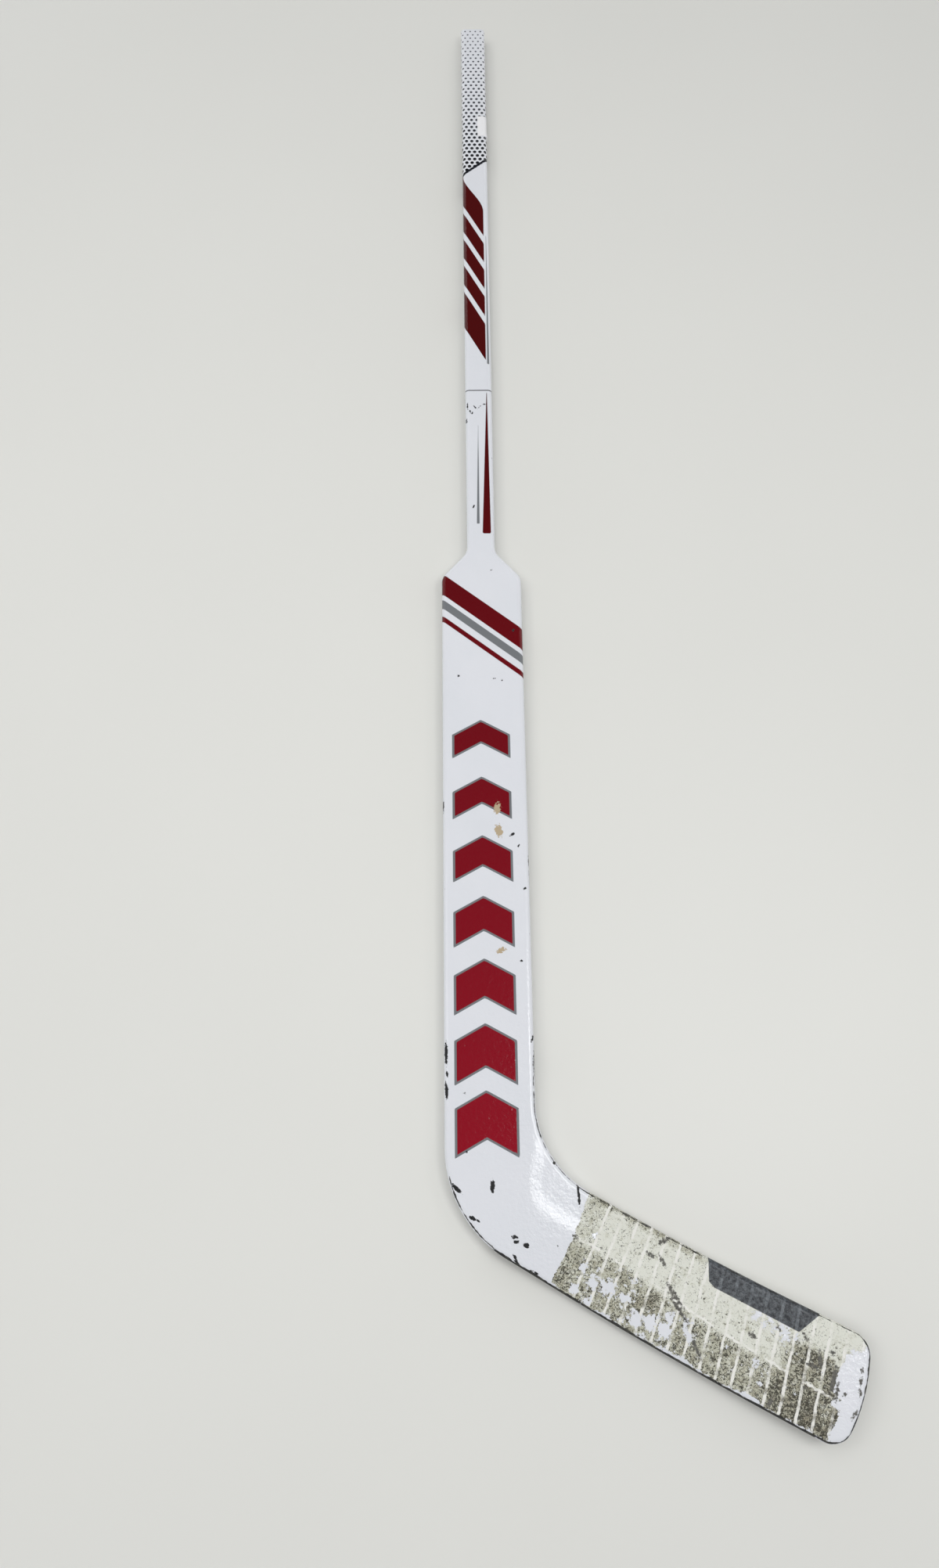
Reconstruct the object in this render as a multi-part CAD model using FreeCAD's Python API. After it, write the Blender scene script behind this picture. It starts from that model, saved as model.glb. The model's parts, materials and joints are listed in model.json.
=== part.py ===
import FreeCAD
import Part
import math
import os

# A goalie stick that lies on its flat back, front face up, in millimetres.
# The origin is on the back face, where the centre lines of shaft and blade cross.
# +Y runs up the shaft to the butt end, +X points to the toe's side, +Z out of the front face.

# Shaft
shaft_width = 29.6
shaft_thickness = 20.0
shaft_wall = 1.8
shaft_end = 1385.0          # butt end, measured up the shaft from the origin
splice_height = 845.0       # middle of the glue line between shaft tube and neck
splice_gap = 1.2            # glue line's width
tenon_length = 130.0
tenon_wall = 2.6
plug_lip = 2.0
plug_depth = 30.0
plug_wall = 2.4
plug_round = 1.2
edge_radius = 4.6           # rounding along all long edges

# Paddle
paddle_width = 83.4
neck_height = 643.0         # where the shoulder's slope would meet the neck's side
shoulder_angle = 48.0       # slope of the shoulder against the X axis
neck_fillet = 18.0
shoulder_round = 14.0

# Blade, seen from the front
lie_angle = 120.0           # between shaft and blade
blade_height = 88.4
blade_reach = 357.0         # from the origin to the toe, along the blade
blade_flare = 1.4           # angle between the top and bottom edges, wider at the toe
toe_to_rocker = 170.0       # from the toe back to the middle of the bow in both edges
rocker_turn = 3.4
rocker_span = 200.0
heel_inner_radius = 90.0
heel_outer_radius = 109.0
toe_tilt = 4.0              # the toe leans back from square
toe_turn = 20.0
toe_span = 52.0
toe_corner_radius = 19.4

# Blade, seen from its bottom edge: thinner than the paddle and curved forward to the toe
heel_ramp_start = 44.0
heel_ramp_length = 58.0
heel_ramp_round = 300.0
blade_thickness = 14.0      # at the foot of the heel ramp
toe_thickness = 11.0
toe_to_curve = 145.0        # from the toe back to the middle of the forward curve
curve_turn = 7.0
curve_span = 270.0

# Skins and cores
skin_wall = 1.2
bond_line = 0.1             # glue film between any two bonded pieces
heel_core_top = 45.0        # top of the heel core, up the shaft
blade_core_start = 100.0    # end of the heel core, along the blade
spine_wall = 1.5
rib_width = 7.0
core_feather = 5.0          # least width of a paddle core, at its upper end

# Sticker on the shaft's front, folded over the edge on the toe's side
sticker_drop = 143.5        # from the butt end down to the sticker
sticker_length = 30.5
sticker_reach = 11.0        # from the shaft's side across the front
sticker_fold = 9.0          # down the shaft's side
sticker_film = 0.2

# Room that cutting solids need past the stick
margin = 40.0
tiny = 1e-6

blade_angle = 90.0 - lie_angle
up = FreeCAD.Vector(0, 0, 1)


def direction(angle):
    return FreeCAD.Vector(math.cos(math.radians(angle)), math.sin(math.radians(angle)), 0)


def crossing(point_a, angle_a, point_b, angle_b):
    # where the line through point_a at angle_a meets the line through point_b at angle_b
    along = direction(angle_a)
    across = direction(angle_b + 90)
    return point_a + along * ((point_b - point_a).dot(across) / along.dot(across))


def bow_radius(span, turn):
    # radius of an arc that turns a line by this angle within this span
    return span / 2 / math.tan(math.radians(turn) / 2)


def turn_at(corners, i):
    # signed angle by which the outline turns at corner i, left turns positive
    before = corners[i][0] - corners[i - 1][0]
    after = corners[(i + 1) % len(corners)][0] - corners[i][0]
    return math.atan2(before.cross(after).dot(up), before.dot(after))


def inset(corners, distance):
    # the same outline moved inwards, with its round corners kept concentric
    moved = []
    for i, (point, radius) in enumerate(corners):
        before = (point - corners[i - 1][0]).normalize()
        after = (corners[(i + 1) % len(corners)][0] - point).normalize()
        turn = turn_at(corners, i)
        inward = up.cross(before + after).normalize()
        concentric = radius - math.copysign(distance, turn)
        shift = inward * (distance / math.cos(turn / 2))
        moved.append((point + shift, max(concentric, 0) if radius else 0))
    return moved


def rounded_wire(corners):
    # straight sides joined by tangent arcs; an arc is never longer than its two sides leave room for
    count = len(corners)
    turns = [turn_at(corners, i) for i in range(count)]
    reach = [corners[i][1] * math.tan(abs(turns[i]) / 2) for i in range(count)]
    for i in range(count):
        side = corners[i][0].distanceToPoint(corners[i - 1][0])
        crowding = (reach[i] + reach[i - 1]) / side
        if crowding > 1:
            reach[i] = reach[i] / crowding
            reach[i - 1] = reach[i - 1] / crowding
    edges = []
    starts = []
    ends = []
    for i, (point, radius) in enumerate(corners):
        before = (corners[i - 1][0] - point).normalize()
        after = (corners[(i + 1) % count][0] - point).normalize()
        starts.append(point + before * reach[i])
        ends.append(point + after * reach[i])
        if reach[i] > tiny:
            middle = (before + after).normalize()
            half = abs(turns[i]) / 2
            apex = point + middle * (reach[i] / math.tan(half) * (1 / math.cos(half) - 1))
            edges.append(Part.Arc(starts[i], apex, ends[i]).toShape())
    for i in range(count):
        if ends[i - 1].distanceToPoint(starts[i]) > tiny:
            edges.append(Part.makeLine(ends[i - 1], starts[i]))
    return Part.Wire(Part.__sortEdges__(edges))


def front_outline(top):
    # neck, shoulders, paddle, heel and blade as sharp corners with their radii, counter-clockwise
    half_neck = shaft_width / 2
    half_paddle = paddle_width / 2
    half_blade = blade_height / 2
    toe_angle = blade_angle + rocker_turn
    bend = direction(blade_angle) * (blade_reach - toe_to_rocker)
    square = direction(blade_angle + rocker_turn / 2 + 90)
    top_bend = bend + square * half_blade
    bottom_bend = bend - square * half_blade
    tip = bend + direction(toe_angle) * toe_to_rocker
    tip_angle = toe_angle + 90 + toe_tilt
    toe_bottom = crossing(bottom_bend, toe_angle - blade_flare / 2, tip, tip_angle - toe_turn / 2)
    toe_top = crossing(top_bend, toe_angle + blade_flare / 2, tip, tip_angle + toe_turn / 2)
    inner_side = FreeCAD.Vector(half_paddle, 0, 0)
    outer_side = FreeCAD.Vector(-half_paddle, 0, 0)
    heel_inner = crossing(inner_side, 90, top_bend, blade_angle + blade_flare / 2)
    heel_outer = crossing(outer_side, 90, bottom_bend, blade_angle - blade_flare / 2)
    shoulder = neck_height - (half_paddle - half_neck) * math.tan(math.radians(shoulder_angle))
    rocker_radius = bow_radius(rocker_span, rocker_turn)
    return [
        (FreeCAD.Vector(-half_neck, top, 0), 0),
        (FreeCAD.Vector(-half_neck, neck_height, 0), neck_fillet),
        (FreeCAD.Vector(-half_paddle, shoulder, 0), shoulder_round),
        (heel_outer, heel_outer_radius),
        (bottom_bend, rocker_radius),
        (toe_bottom, toe_corner_radius),
        (tip, bow_radius(toe_span, toe_turn)),
        (toe_top, toe_corner_radius),
        (top_bend, rocker_radius),
        (heel_inner, heel_inner_radius),
        (FreeCAD.Vector(half_paddle, shoulder, 0), shoulder_round),
        (FreeCAD.Vector(half_neck, neck_height, 0), neck_fillet),
        (FreeCAD.Vector(half_neck, top, 0), 0),
    ]


def profile_line(share, shift):
    # a line through the thickness, from past the butt end to past the toe, as corners along the blade.
    # share 0 is the back face and 1 the front face; shift moves the line off that face.
    ramp_end = heel_ramp_start + heel_ramp_length
    bend = blade_reach - toe_to_curve
    end = blade_reach + margin
    taper = (toe_thickness - blade_thickness) / (blade_reach - ramp_end)
    rise = (end - bend) * math.tan(math.radians(curve_turn))
    curve_radius = bow_radius(curve_span, curve_turn)
    stations = [
        (-shaft_end, 0, shaft_thickness, 0),
        (heel_ramp_start, 0, shaft_thickness, heel_ramp_round),
        (ramp_end, 0, blade_thickness, heel_ramp_round),
        (bend, 0, blade_thickness + taper * (bend - ramp_end), curve_radius),
        (end, rise, blade_thickness + taper * (end - ramp_end), 0),
    ]
    line = []
    for along, lift, thickness, radius in stations:
        line.append((FreeCAD.Vector(along, lift + share * thickness + shift, 0), radius))
    return line


def side_prism(lower, upper):
    # the room between two profile lines, drawn along the blade and carried across it
    wire = rounded_wire(lower + upper[::-1])
    face = Part.Face(wire)
    face.rotate(FreeCAD.Vector(0, 0, 0), FreeCAD.Vector(1, 0, 0), 90)
    face.translate(FreeCAD.Vector(0, shaft_end, 0))
    prism = face.extrude(FreeCAD.Vector(0, -2 * shaft_end, 0))
    prism.rotate(FreeCAD.Vector(0, 0, 0), up, blade_angle)
    return prism


def rim_edges(solid, top):
    # edges where the front or back face meets the walls, without the open end of the neck
    rim = []
    for edge in solid.Edges:
        middle = edge.valueAt((edge.FirstParameter + edge.LastParameter) / 2)
        if middle.y > top - tiny:
            continue
        slopes = []
        for face in solid.ancestorsOfType(edge, Part.Face):
            u, v = face.Surface.parameter(middle)
            slopes.append(abs(face.normalAt(u, v).z))
        if min(slopes) < 0.5 < max(slopes):
            rim.append(edge)
    return rim


def stick_body(depth, top):
    # neck, paddle and blade in one, this deep below the outer surface
    outline = inset(front_outline(top + depth), depth)
    plan = Part.Face(rounded_wire(outline)).extrude(up * (2 * margin + shaft_thickness))
    plan.translate(up * -margin)
    solid = plan.common(side_prism(profile_line(0, depth), profile_line(1, -depth)))
    return solid.makeFillet(edge_radius - depth, rim_edges(solid, top)).Solids[0]


def shaft_bar(depth, low, high):
    # a length of the shaft's rounded section, this deep below its surface
    width = shaft_width - 2 * depth
    thickness = shaft_thickness - 2 * depth
    corner = FreeCAD.Vector(-width / 2, low, depth)
    bar = Part.makeBox(width, high - low, thickness, corner)
    long_edges = [e for e in bar.Edges if abs(e.tangentAt(e.FirstParameter).y) > 0.5]
    return bar.makeFillet(edge_radius - depth, long_edges)


def slab(angle, low, high):
    # everything between two planes square to this direction
    long = 3 * shaft_end
    box = Part.makeBox(high - low, long, long, FreeCAD.Vector(low, -long / 2, -long / 2))
    box.rotate(FreeCAD.Vector(0, 0, 0), up, angle)
    return box


far = 1.5 * shaft_end
neck_top = splice_height - splice_gap / 2
tube_bottom = splice_height + splice_gap / 2
tube_top = shaft_end - plug_lip
tenon_bottom = splice_height - tenon_length / 2
tenon_top = splice_height + tenon_length / 2
fit_depth = shaft_wall + bond_line
core_depth = skin_wall + bond_line

# Shaft tube and its end plug
shaft_bore = shaft_bar(shaft_wall, neck_top - margin, shaft_end + margin)
shaft_tube = shaft_bar(0, tube_bottom, tube_top).cut(shaft_bore)

lip = shaft_bar(0, tube_top, shaft_end)
lip_rim = [e for e in lip.Edges if e.BoundBox.YMin > shaft_end - tiny]
lip = lip.makeFillet(plug_round, lip_rim)
shank = shaft_bar(fit_depth, tube_top - plug_depth, shaft_end - plug_lip / 2)
shank_bore = shaft_bar(fit_depth + plug_wall, tube_top - plug_depth - margin, tube_top)
butt_plug = lip.fuse(shank).cut(shank_bore).removeSplitter()

# Splice: a hollow tenon that fits the neck below and the tube above, and the glue line between those two
tenon_foot = shaft_bar(core_depth, tenon_bottom, neck_top)
tenon_head = shaft_bar(fit_depth, neck_top - tenon_length / 4, tenon_top)
tenon_bore = shaft_bar(max(core_depth, fit_depth) + tenon_wall, tenon_bottom - margin, tenon_top + margin)
splice_tenon = tenon_foot.fuse(tenon_head).cut(tenon_bore).removeSplitter()
splice_bead = shaft_bar(0, neck_top, tube_bottom).cut(shaft_bore)

# Front and back skins, bonded along the middle of the edge
hollow_skin = stick_body(0, neck_top).cut(stick_body(skin_wall, neck_top + margin))
half_bond = bond_line / 2
front_half = side_prism(profile_line(0.5, half_bond), profile_line(1, margin))
back_half = side_prism(profile_line(0, -margin), profile_line(0.5, -half_bond))
front_skin = hollow_skin.common(front_half)
back_skin = hollow_skin.common(back_half)

# Spine through neck and paddle, with foam beside it and below it
filling = stick_body(core_depth, neck_top + margin)
spine_top = tenon_bottom - bond_line
spine_bottom = heel_core_top + bond_line
paddle_spine = shaft_bar(core_depth, spine_bottom, spine_top)
paddle_spine = paddle_spine.cut(shaft_bar(core_depth + spine_wall, spine_bottom - margin, spine_top + margin))

beside_spine = shaft_width / 2 - core_depth + bond_line
ramp_tangent = math.tan(math.radians(shoulder_angle))
core_top = neck_height - (core_feather + bond_line + skin_wall) * ramp_tangent - skin_wall
paddle_filling = filling.common(slab(90, spine_bottom, core_top))
inner_paddle_core = paddle_filling.common(slab(0, beside_spine, far))
outer_paddle_core = paddle_filling.common(slab(0, -far, -beside_spine))
heel_core = filling.common(slab(90, -far, heel_core_top)).common(slab(blade_angle, -far, blade_core_start))

# Blade: a stiff rib along the middle between two strips of foam
blade_filling = filling.common(slab(blade_angle, blade_core_start + bond_line, far))
across_blade = blade_angle + 90
half_rib = rib_width / 2
blade_rib = blade_filling.common(slab(across_blade, -half_rib, half_rib))
upper_blade_core = blade_filling.common(slab(across_blade, half_rib + bond_line, far))
lower_blade_core = blade_filling.common(slab(across_blade, -far, -half_rib - bond_line))

# Sticker: a film that follows the shaft's rounded edge
sticker_top = shaft_end - sticker_drop
sticker_bottom = sticker_top - sticker_length
sticker_inside = shaft_bar(-half_bond, sticker_bottom - margin, sticker_top + margin)
sticker_outside = shaft_bar(-half_bond - sticker_film, sticker_bottom, sticker_top)
sticker_left = shaft_width / 2 - sticker_reach
sticker_corner = FreeCAD.Vector(sticker_left, sticker_bottom, shaft_thickness - sticker_fold)
sticker_room = Part.makeBox(sticker_reach + margin, sticker_length, sticker_fold + margin, sticker_corner)
shaft_sticker = sticker_outside.cut(sticker_inside).common(sticker_room)

pieces = {
    "shaft_tube": shaft_tube,
    "butt_plug": butt_plug,
    "splice_tenon": splice_tenon,
    "splice_bead": splice_bead,
    "front_skin": front_skin,
    "back_skin": back_skin,
    "paddle_spine": paddle_spine,
    "outer_paddle_core": outer_paddle_core,
    "inner_paddle_core": inner_paddle_core,
    "heel_core": heel_core,
    "upper_blade_core": upper_blade_core,
    "blade_rib": blade_rib,
    "lower_blade_core": lower_blade_core,
    "shaft_sticker": shaft_sticker,
}

os.makedirs("parts", exist_ok=True)
for name, shape in pieces.items():
    print(name, "solids", len(shape.Solids), "valid", shape.isValid(), "cm3", round(shape.Volume / 1000, 2))
    shape.exportStep("parts/" + name + ".step")
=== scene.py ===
import bpy
import json
import math
import numpy as np
from functools import partial
from mathutils import Matrix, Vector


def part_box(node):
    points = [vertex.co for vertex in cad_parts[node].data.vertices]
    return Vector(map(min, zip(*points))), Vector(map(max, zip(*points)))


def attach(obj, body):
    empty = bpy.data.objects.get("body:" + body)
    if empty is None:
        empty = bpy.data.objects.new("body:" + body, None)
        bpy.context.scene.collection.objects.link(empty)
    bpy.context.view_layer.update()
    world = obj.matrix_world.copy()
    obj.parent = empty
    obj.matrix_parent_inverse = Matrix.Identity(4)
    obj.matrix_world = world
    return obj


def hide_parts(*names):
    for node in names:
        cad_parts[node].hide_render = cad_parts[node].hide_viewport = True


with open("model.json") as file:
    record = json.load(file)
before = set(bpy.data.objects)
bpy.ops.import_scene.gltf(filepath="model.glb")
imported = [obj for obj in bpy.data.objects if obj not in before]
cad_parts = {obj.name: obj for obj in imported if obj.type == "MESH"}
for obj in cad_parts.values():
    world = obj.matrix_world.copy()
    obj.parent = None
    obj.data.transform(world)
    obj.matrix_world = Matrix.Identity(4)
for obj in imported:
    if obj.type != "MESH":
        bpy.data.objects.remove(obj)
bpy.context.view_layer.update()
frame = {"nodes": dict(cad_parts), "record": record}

# A goalie stick that lies on its flat back: +Y up the shaft, +X to the toe's side, +Z out of the front.
# All sizes below are millimetres, and meshes are turned to metres when they are made.
mm = 0.001
farAway = 99.0           # farther than anything drawn on the stick reaches
sharpAngle = 40.0        # an edge that turns by more degrees than this isn't shaded smooth
latticeSize = 128        # random fields repeat after so many blotches
noiseSpan = (0.2, 0.8)   # where the values of shader noise mostly lie


def solidBox(node):  # lowest and highest corner of one of the frame's solids
    return np.array(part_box(node)) / mm


shaftLow, shaftHigh = solidBox("shaft_tube")
beadLow, beadHigh = solidBox("splice_bead")
stickerLow, stickerHigh = solidBox("shaft_sticker")

stick = {
    "shaftWidth": shaftHigh[0] - shaftLow[0],
    "shaftThickness": shaftHigh[2] - shaftLow[2],
    "neckTop": solidBox("front_skin")[1, 1],
    "edgeRadius": 4.6,        # rounding along all long edges
    "paddleWidth": 83.4,
    "neckHeight": 643.0,      # where the shoulder's slope would meet the neck's side
    "shoulderAngle": 48.0,
    "neckFillet": 18.0,
    "shoulderRound": 14.0,
    "bladeAngle": -30.0,      # of the blade against the X axis
    "bladeHeight": 88.4,
    "bladeReach": 357.0,      # from the origin to the toe
    "bladeFlare": 1.4,
    "toeToRocker": 170.0,     # middle of the bow in the blade's edges, back from the toe
    "rockerTurn": 3.4,
    "rockerSpan": 200.0,
    "heelInnerRadius": 90.0,
    "heelOuterRadius": 109.0,
    "toeTilt": 4.0,
    "toeTurn": 20.0,
    "toeSpan": 52.0,
    "toeCornerRadius": 19.4,
    "rampStart": 44.0,        # the front drops from paddle to blade along this ramp
    "rampLength": 58.0,
    "rampEase": 15.5,         # half the length of the rounding at both ends of the ramp
    "bladeThickness": 14.0,
    "toeThickness": 11.0,
    "toeToCurve": 145.0,      # middle of the forward curve, back from the toe
    "curveTurn": 7.0,
    "curveSpan": 270.0,
    "skinWall": 1.2,
    "bondLine": 0.1,
}


def linear(hexColour):  # sRGB hex to the linear colour that shaders take
    channel = np.array([int(hexColour[i:i + 2], 16) for i in (1, 3, 5)]) / 255
    bright = ((channel + 0.055) / 1.055) ** 2.4
    return (*np.where(channel <= 0.04045, channel / 12.92, bright).tolist(), 1.0)


def addNode(tree, kind, *inputs, out=0, **settings):  # inputs in order, or one dictionary by name or number
    node = tree.nodes.new("ShaderNode" + kind)
    for name, value in settings.items():
        setattr(node, name, value)
    sockets = inputs[0] if inputs and isinstance(inputs[0], dict) else dict(enumerate(inputs))
    for key, value in sockets.items():
        if isinstance(value, bpy.types.NodeSocket):
            tree.links.new(value, node.inputs[key])
        else:
            node.inputs[key].default_value = linear(value) if isinstance(value, str) else value
    return node.outputs[out] if node.outputs else node


def heading(degrees):  # a direction in plan, one unit long
    return np.array((math.cos(math.radians(degrees)), math.sin(math.radians(degrees))))


def ease(value, low, high):  # 0 below low, 1 above high, an S curve between
    share = np.clip((value - low) / (high - low), 0, 1)
    return share * share * (3 - 2 * share)


def bow(along, corner, half):  # 0 before a corner, slope 1 after it, a parabola for half a length both ways
    near = np.clip(along - corner + half, 0, 2 * half)
    return near ** 2 / (4 * half) + np.maximum(along - corner - half, 0)


def mottle(x, y, size, seed):  # smooth random field from 0 to 1: random values on a lattice, eased between
    lattice = np.random.default_rng(seed).random((latticeSize, latticeSize))
    column, row = np.floor(x / size).astype(int), np.floor(y / size).astype(int)
    right, up = ease(x / size - column, 0, 1), ease(y / size - row, 0, 1)
    left, low = column % latticeSize, row % latticeSize
    farther, higher = (column + 1) % latticeSize, (row + 1) % latticeSize
    below = lattice[left, low] * (1 - right) + lattice[farther, low] * right
    above = lattice[left, higher] * (1 - right) + lattice[farther, higher] * right
    return below * (1 - up) + above * up


def quads(ids, flip=False):  # the faces between neighbours in a grid of vertex numbers
    corners = (ids[:-1, :-1], ids[1:, :-1], ids[1:, 1:], ids[:-1, 1:])
    return np.stack(corners[::-1] if flip else corners, -1).reshape(-1, 4)


def makePiece(name, points, faces, fields, slot, *nodes, wall=0.0):  # fields are values for each vertex
    mesh = bpy.data.meshes.new(name)
    mesh.from_pydata((points * mm).tolist(), [], [face for part in faces for face in part.tolist()])
    for field, values in fields.items():
        mesh.attributes.new(field, "FLOAT", "POINT").data.foreach_set("value", values.astype(np.float32))
    mesh.polygons.foreach_set("use_smooth", np.ones(len(mesh.polygons), bool))
    mesh.set_sharp_from_angle(angle=math.radians(sharpAngle))
    piece = bpy.data.objects.new(name, mesh)
    bpy.context.scene.collection.objects.link(piece)
    if wall:  # the wall grows inwards from the modelled surface
        thicken = piece.modifiers.new("wall", "SOLIDIFY")
        thicken.thickness = wall * mm
        thicken.offset = -1
        thicken.use_even_offset = False
    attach(piece, "root")
    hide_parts(*nodes)
    print("piece", name, len(mesh.polygons), "faces")
    return piece


# Front and back skins


def alongBlade(x, y):  # distances along the blade from the origin, and across it towards its top edge
    ahead, across = heading(stick["bladeAngle"]), heading(stick["bladeAngle"] + 90)
    return x * ahead[0] + y * ahead[1], x * across[0] + y * across[1]


def backHeight(along):  # the back lies flat, then curves up to the toe
    slope = math.tan(math.radians(stick["curveTurn"]))
    return slope * bow(along, stick["bladeReach"] - stick["toeToCurve"], stick["curveSpan"] / 2)


def thickness(along):  # even in the paddle, then down the heel's ramp, then a slow taper to the toe
    rampEnd = stick["rampStart"] + stick["rampLength"]
    ramp = (stick["shaftThickness"] - stick["bladeThickness"]) / stick["rampLength"]
    taper = (stick["bladeThickness"] - stick["toeThickness"]) / (stick["bladeReach"] - rampEnd)
    before = bow(along, stick["rampStart"], stick["rampEase"])
    after = bow(along, rampEnd, stick["rampEase"])
    return stick["shaftThickness"] - ramp * before + (ramp - taper) * after


def crossing(pointA, angleA, pointB, angleB):  # where two lines meet
    ahead, across = heading(angleA), heading(angleB + 90)
    return pointA + ahead * ((pointB - pointA) @ across / (ahead @ across))


def bendRadius(span, turn):  # of an arc that turns by some degrees between tangents half the span long
    return span / 2 / math.tan(math.radians(turn / 2))


def frontOutline():  # sharp corners and their radii, from the neck's left side round the toe to its right
    halfNeck, halfPaddle = stick["shaftWidth"] / 2, stick["paddleWidth"] / 2
    angle, halfBlade, flare = stick["bladeAngle"], stick["bladeHeight"] / 2, stick["bladeFlare"] / 2
    toeAngle = angle + stick["rockerTurn"]
    bend = heading(angle) * (stick["bladeReach"] - stick["toeToRocker"])
    square = heading(angle + stick["rockerTurn"] / 2 + 90)
    topBend, bottomBend = bend + square * halfBlade, bend - square * halfBlade
    tip = bend + heading(toeAngle) * stick["toeToRocker"]
    tipAngle = toeAngle + 90 + stick["toeTilt"]
    toeBottom = crossing(bottomBend, toeAngle - flare, tip, tipAngle - stick["toeTurn"] / 2)
    toeTop = crossing(topBend, toeAngle + flare, tip, tipAngle + stick["toeTurn"] / 2)
    heelInner = crossing(np.array((halfPaddle, 0.0)), 90, topBend, angle + flare)
    heelOuter = crossing(np.array((-halfPaddle, 0.0)), 90, bottomBend, angle - flare)
    slope = math.tan(math.radians(stick["shoulderAngle"]))
    shoulder = stick["neckHeight"] - (halfPaddle - halfNeck) * slope
    rocker = bendRadius(stick["rockerSpan"], stick["rockerTurn"])
    return [
        ((-halfNeck, stick["neckTop"]), 0),
        ((-halfNeck, stick["neckHeight"]), stick["neckFillet"]),
        ((-halfPaddle, shoulder), stick["shoulderRound"]),
        (heelOuter, stick["heelOuterRadius"]),
        (bottomBend, rocker),
        (toeBottom, stick["toeCornerRadius"]),
        (tip, bendRadius(stick["toeSpan"], stick["toeTurn"])),
        (toeTop, stick["toeCornerRadius"]),
        (topBend, rocker),
        (heelInner, stick["heelInnerRadius"]),
        ((halfPaddle, shoulder), stick["shoulderRound"]),
        ((halfNeck, stick["neckHeight"]), stick["neckFillet"]),
        ((halfNeck, stick["neckTop"]), 0),
    ]


skinGrain = {
    "runs": (88, 10, 360, 50, 80, 14),    # samples on the straight runs from neck to toe, on either side
    "arcs": (8, 8, 100, 216, 32, 20),     # and on the arcs between them, the last one in the toe's middle
    "rounding": 6,                        # steps round the edge
    "toeRows": 72,                        # rows that turn from straight across to the toe's curve
    "halfFace": 35.0,                     # about half the width of a face inside its rounding
    "innerStep": 4, "innerRounding": 3,   # the hidden inner wall has every fourth sample
}


def samplePath(corners, runs, arcs):  # straight runs joined by tangent arcs: points and the heading at each
    points = np.array([corner for corner, radius in corners], float)
    sides = np.diff(points, axis=0)
    angles = np.unwrap(np.arctan2(sides[:, 1], sides[:, 0]))
    turns = np.diff(angles)
    radii = np.array([radius for corner, radius in corners[1:-1]])
    reach = np.concatenate(([0], radii * np.tan(np.abs(turns) / 2), [0]))
    ahead = np.stack((np.cos(angles), np.sin(angles)), -1)
    path, facing = [], []
    for i, angle in enumerate(angles):
        start, end = points[i] + ahead[i] * reach[i], points[i + 1] - ahead[i] * reach[i + 1]
        share = np.linspace(0, 1, runs[i], endpoint=False)[:, None]
        path.append(start + (end - start) * share)
        facing.append(np.full(runs[i], angle))
        if i < len(turns):  # centre of the arc, then round it
            radius = math.copysign(radii[i], turns[i])
            turned = angle + turns[i] * np.linspace(0, 1, arcs[i], endpoint=False)
            centre = end - radius * np.array((math.sin(angle), -math.cos(angle)))
            path.append(centre + radius * np.stack((np.sin(turned), -np.cos(turned)), -1))
            facing.append(turned)
    return np.vstack(path + [points[-1:]]), np.concatenate(facing + [angles[-1:]])


runs, arcs = skinGrain["runs"], skinGrain["arcs"]
outline, facing = samplePath(frontOutline(), runs + runs[::-1], arcs + arcs[-2::-1])
outward = np.stack((np.sin(facing), -np.cos(facing)), -1)
toeStart = sum(runs[:5]) + sum(arcs[:4]) + arcs[4] // 2    # middle of the toe's lower corner
toeEnd = len(outline) - 1 - toeStart                       # middle of its upper corner

scoop = {
    "side": 37.0,        # the scoop in the heel starts this far to the toe's side of the paddle's middle
    "bulge": 7.0, "bulgeTop": 40.0,      # and nearer to it by the bulge, beside the blade
    "crease": 4.0,       # and above this line along the blade
    "blend": 16.0,       # rounding between those two limits
    "slope": 16.0,       # width of the slope into the scoop
    "depth": 0.95,       # less than the skin's wall
    "fade": (120.0, 310.0),
}


def scoopDepth(x, y):  # distance inside two limits, rounded where they meet, turned into a soft step
    along, across = alongBlade(x, y)
    side = x - scoop["side"] + scoop["bulge"] * (1 - ease(y, 0, scoop["bulgeTop"]))
    crease = across - scoop["crease"]
    overlap = np.maximum(scoop["blend"] - np.abs(side - crease), 0) / scoop["blend"]
    inside = np.minimum(side, crease) - overlap ** 2 * scoop["blend"] / 4
    return scoop["depth"] * ease(inside, 0, scoop["slope"]) * (1 - ease(along, *scoop["fade"]))


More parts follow.
